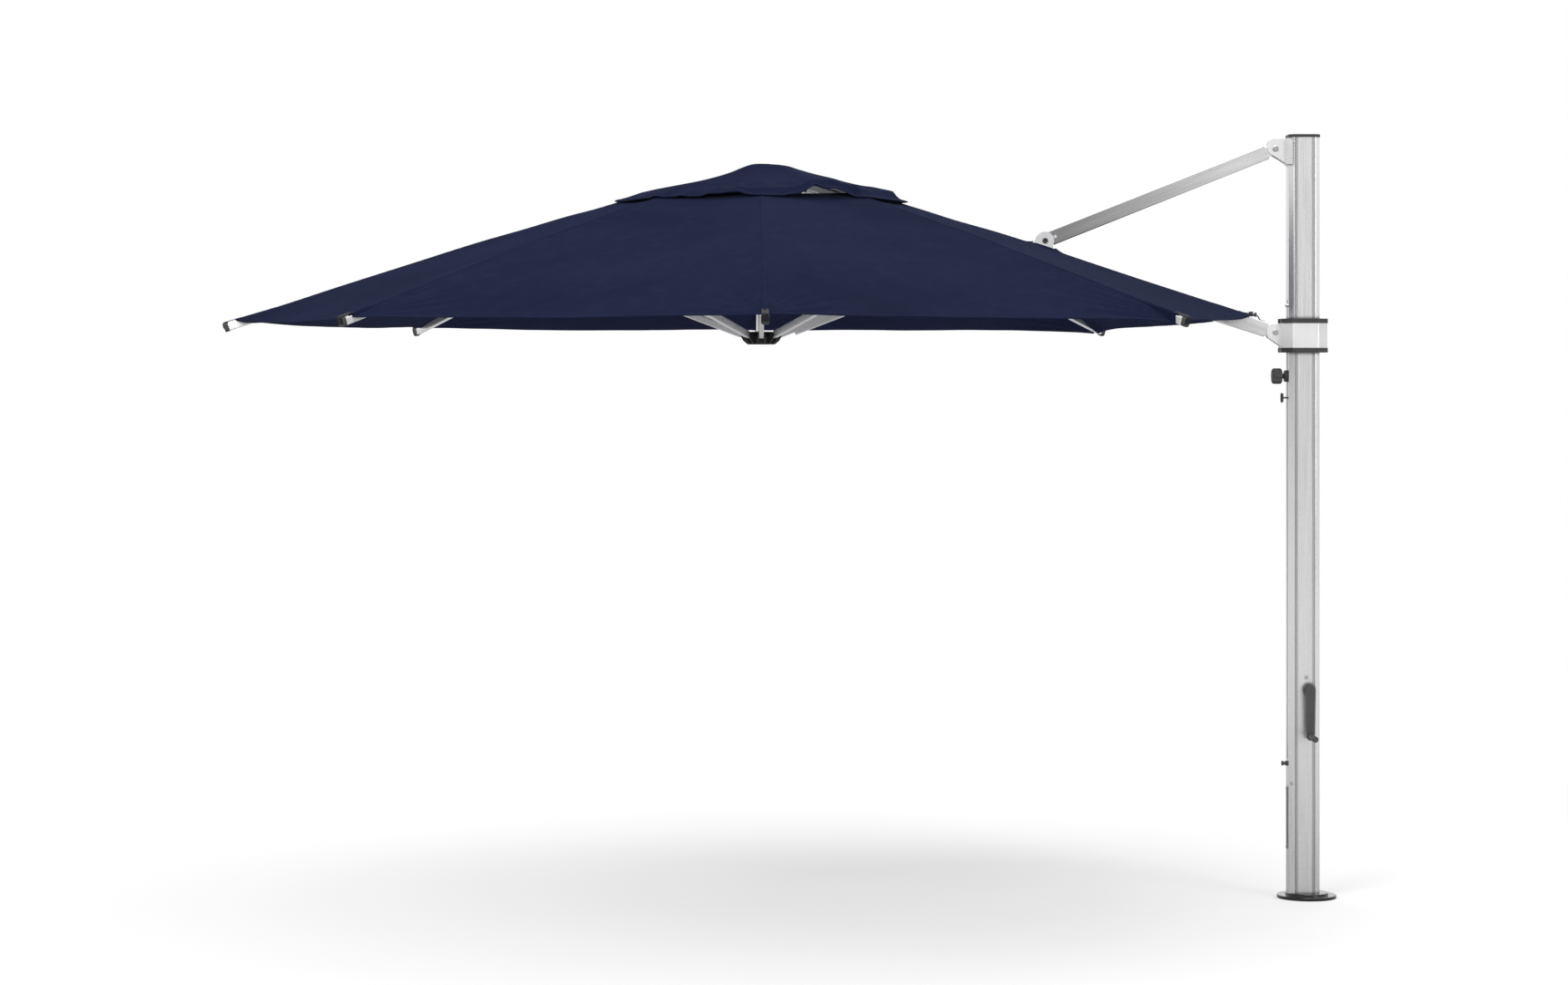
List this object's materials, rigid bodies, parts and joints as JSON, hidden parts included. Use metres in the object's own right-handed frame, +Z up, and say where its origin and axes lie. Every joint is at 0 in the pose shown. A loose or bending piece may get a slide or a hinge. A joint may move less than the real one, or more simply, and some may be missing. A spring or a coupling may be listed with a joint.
{
  "type": "cantilever parasol",
  "caption": "Side-mast garden parasol with an octagonal vented canopy, a sliding collar linkage, a crank winch and a round bolt-down swivel base.",
  "frame": {"origin": "centre of the ground plate's underside, on the mast's swivel axis", "axes": "+Z up along the mast, -X out to the canopy, Y across; symmetric in Y apart from the crank"},
  "size_m": [4.1092, 3.9734, 2.8175],
  "materials": {
    "silver": "satin anodised",
    "cast_silver": "satin painted casting",
    "steel": "bright",
    "black_gloss": "gloss powder coat",
    "black_metal": "satin black",
    "dark_metal": "satin dark grey",
    "black_plastic": "moulded",
    "dark_plastic": "moulded",
    "cable": "braided cord",
    "navy_fabric": "woven solution-dyed canvas"
  },
  "bodies": {
    "base": {"base_plate": "black_gloss", "base_spigot": "steel", "swivel_ring": "black_gloss"},
    "mast": {"mast_tube": "silver", "mast_top_cap": "black_plastic", "spigot_bushes": "black_plastic", "top_bracket": "cast_silver", "winch_housing": "black_plastic", "hatch_cover": "dark_plastic", "mast_fasteners": "steel", "lift_cable": "cable"},
    "top_pulley": {"top_pulley": "dark_plastic"},
    "crank": {"crank_shaft": "dark_metal", "winch_drum": "steel", "crank_arm": "dark_metal"},
    "crank_grip": {"crank_grip": "dark_plastic"},
    "upper_link": {"upper_link_tube": "silver", "link_end_fittings": "cast_silver"},
    "main_arm": {"main_arm_tube": "silver", "arm_clevis": "cast_silver", "elbow_pin": "black_metal", "arm_end_fittings": "cast_silver"},
    "collar": {"collar_body": "cast_silver", "glide_rings": "black_plastic", "collar_carriage": "dark_metal", "collar_pivot_pin": "steel", "knob_boss": "dark_plastic"},
    "lock_knob": {"lock_knob": "dark_plastic"},
    "safety_pin": {"safety_pin": "dark_plastic"},
    "rotation_lock": {"rotation_lock_knob": "dark_metal"},
    "crown": {"crown_hub": "black_plastic", "crown_pins": "steel", "crown_cap": "navy_fabric", "canopy_fabric": "navy_fabric", "vent_fabric": "navy_fabric"},
    "strut_main": {"strut_main": "silver"},
    "runner": {"runner": "black_plastic", "runner_pins": "steel"},
    "rib_1": {"rib_1": "silver", "rib_fittings_1": "black_plastic"},
    "strut_1": {"strut_1": "silver"},
    "rib_2": {"rib_2": "silver", "rib_fittings_2": "black_plastic"},
    "strut_2": {"strut_2": "silver"},
    "rib_3": {"rib_3": "silver", "rib_fittings_3": "black_plastic"},
    "strut_3": {"strut_3": "silver"},
    "rib_4": {"rib_4": "silver", "rib_fittings_4": "black_plastic"},
    "strut_4": {"strut_4": "silver"},
    "rib_5": {"rib_5": "silver", "rib_fittings_5": "black_plastic"},
    "strut_5": {"strut_5": "silver"},
    "rib_6": {"rib_6": "silver", "rib_fittings_6": "black_plastic"},
    "strut_6": {"strut_6": "silver"},
    "rib_7": {"rib_7": "silver", "rib_fittings_7": "black_plastic"},
    "strut_7": {"strut_7": "silver"}
  },
  "joints": [
    {"name": "mast_rotation", "type": "hinge", "parent": "base", "child": "mast", "pos_m": [0, 0, 0.3], "axis": [0, 0, 1], "continuous": true},
    {"name": "fold", "type": "hinge", "parent": "mast", "child": "upper_link", "pos_m": [-0.1185, 0, 2.7647], "axis": [0, -1, 0], "range_deg": [0, 67], "deforming": ["lift_cable", "canopy_fabric", "vent_fabric"]},
    {"name": "elbow", "type": "hinge", "parent": "upper_link", "child": "main_arm", "pos_m": [-0.96741, 0, 2.42595], "axis": [0, 1, 0], "range_deg": [0, 134]},
    {"name": "collar_pivot", "type": "hinge", "parent": "main_arm", "child": "collar", "pos_m": [-0.1185, 0, 2.0872], "axis": [0, -1, 0], "range_deg": [0, 67]},
    {"name": "hub_pivot", "type": "hinge", "parent": "main_arm", "child": "crown", "pos_m": [-1.952, 0, 2.666], "axis": [0, -1, 0], "range_deg": [0, 67]},
    {"name": "rib_1_hinge", "type": "hinge", "parent": "crown", "child": "rib_1", "pos_m": [-1.97016, 0.04384, 2.666], "axis": [-0.7071, 0.7071, 0], "range_deg": [0, 67]},
    {"name": "strut_1_joint", "type": "hinge", "parent": "rib_1", "child": "strut_1", "pos_m": [-1.4271, 0.5869, 2.371], "axis": [0.7071, -0.7071, 0], "range_deg": [0, 134]},
    {"name": "rib_2_hinge", "type": "hinge", "parent": "crown", "child": "rib_2", "pos_m": [-2.014, 0.062, 2.666], "axis": [-1, 0, 0], "range_deg": [0, 67]},
    {"name": "strut_2_joint", "type": "hinge", "parent": "rib_2", "child": "strut_2", "pos_m": [-2.014, 0.83, 2.371], "axis": [1, 0, 0], "range_deg": [0, 134]},
    {"name": "rib_3_hinge", "type": "hinge", "parent": "crown", "child": "rib_3", "pos_m": [-2.05784, 0.04384, 2.666], "axis": [-0.7071, -0.7071, 0], "range_deg": [0, 67]},
    {"name": "strut_3_joint", "type": "hinge", "parent": "rib_3", "child": "strut_3", "pos_m": [-2.6009, 0.5869, 2.371], "axis": [0.7071, 0.7071, 0], "range_deg": [0, 134]},
    {"name": "rib_4_hinge", "type": "hinge", "parent": "crown", "child": "rib_4", "pos_m": [-2.076, 0, 2.666], "axis": [0, -1, 0], "range_deg": [0, 67]},
    {"name": "strut_4_joint", "type": "hinge", "parent": "rib_4", "child": "strut_4", "pos_m": [-2.844, 0, 2.371], "axis": [0, 1, 0], "range_deg": [0, 134]},
    {"name": "rib_5_hinge", "type": "hinge", "parent": "crown", "child": "rib_5", "pos_m": [-2.05784, -0.04384, 2.666], "axis": [0.7071, -0.7071, 0], "range_deg": [0, 67]},
    {"name": "strut_5_joint", "type": "hinge", "parent": "rib_5", "child": "strut_5", "pos_m": [-2.6009, -0.5869, 2.371], "axis": [-0.7071, 0.7071, 0], "range_deg": [0, 134]},
    {"name": "rib_6_hinge", "type": "hinge", "parent": "crown", "child": "rib_6", "pos_m": [-2.014, -0.062, 2.666], "axis": [1, 0, 0], "range_deg": [0, 67]},
    {"name": "strut_6_joint", "type": "hinge", "parent": "rib_6", "child": "strut_6", "pos_m": [-2.014, -0.83, 2.371], "axis": [-1, 0, 0], "range_deg": [0, 134]},
    {"name": "rib_7_hinge", "type": "hinge", "parent": "crown", "child": "rib_7", "pos_m": [-1.97016, -0.04384, 2.666], "axis": [0.7071, 0.7071, 0], "range_deg": [0, 67]},
    {"name": "strut_7_joint", "type": "hinge", "parent": "rib_7", "child": "strut_7", "pos_m": [-1.4271, -0.5869, 2.371], "axis": [-0.7071, -0.7071, 0], "range_deg": [0, 134]},
    {"name": "strut_main_joint", "type": "hinge", "parent": "main_arm", "child": "strut_main", "pos_m": [-1.184, 0, 2.371], "axis": [0, -1, 0], "range_deg": [0, 134]},
    {"name": "runner_pivot", "type": "hinge", "parent": "strut_main", "child": "runner", "pos_m": [-1.952, 0, 2.076], "axis": [0, 1, 0], "range_deg": [0, 67]},
    {"name": "crank_turn", "type": "hinge", "parent": "mast", "child": "crank", "pos_m": [0.001, -0.08, 0.774], "axis": [0, -1, 0], "continuous": true},
    {"name": "top_pulley_turn", "type": "hinge", "parent": "mast", "child": "top_pulley", "pos_m": [-0.016, 0, 2.745], "axis": [0, -1, 0], "continuous": true},
    {"name": "grip_spin", "type": "hinge", "parent": "crank", "child": "crank_grip", "pos_m": [0.001, -0.15, 0.603], "axis": [0, -1, 0], "continuous": true},
    {"name": "lock_knob_turn", "type": "hinge", "parent": "collar", "child": "lock_knob", "pos_m": [-0.1, 0, 1.926], "axis": [1, 0, 0], "range_deg": [-90, 540]},
    {"name": "safety_pin_pull", "type": "slide", "parent": "collar", "child": "safety_pin", "axis": [-1, 0, 0], "range_m": [0, 0.02], "stiffness_N_per_m": 300},
    {"name": "rotation_lock_turn", "type": "hinge", "parent": "mast", "child": "rotation_lock", "pos_m": [-0.085, 0, 0.496], "axis": [1, 0, 0], "range_deg": [-90, 540]}
  ],
  "couplings": [
    {"joint": "elbow", "follows": "fold", "ratio": 2},
    {"joint": "collar_pivot", "follows": "fold", "ratio": 1},
    {"joint": "hub_pivot", "follows": "fold", "ratio": 1},
    {"joint": "rib_1_hinge", "follows": "fold", "ratio": 1},
    {"joint": "strut_1_joint", "follows": "fold", "ratio": 2},
    {"joint": "rib_2_hinge", "follows": "fold", "ratio": 1},
    {"joint": "strut_2_joint", "follows": "fold", "ratio": 2},
    {"joint": "rib_3_hinge", "follows": "fold", "ratio": 1},
    {"joint": "strut_3_joint", "follows": "fold", "ratio": 2},
    {"joint": "rib_4_hinge", "follows": "fold", "ratio": 1},
    {"joint": "strut_4_joint", "follows": "fold", "ratio": 2},
    {"joint": "rib_5_hinge", "follows": "fold", "ratio": 1},
    {"joint": "strut_5_joint", "follows": "fold", "ratio": 2},
    {"joint": "rib_6_hinge", "follows": "fold", "ratio": 1},
    {"joint": "strut_6_joint", "follows": "fold", "ratio": 2},
    {"joint": "rib_7_hinge", "follows": "fold", "ratio": 1},
    {"joint": "strut_7_joint", "follows": "fold", "ratio": 2},
    {"joint": "strut_main_joint", "follows": "fold", "ratio": 2},
    {"joint": "runner_pivot", "follows": "fold", "ratio": 1},
    {"joint": "crank_turn", "follows": "fold", "ratio": 37.612},
    {"joint": "top_pulley_turn", "follows": "fold", "ratio": 16.299}
  ]
}
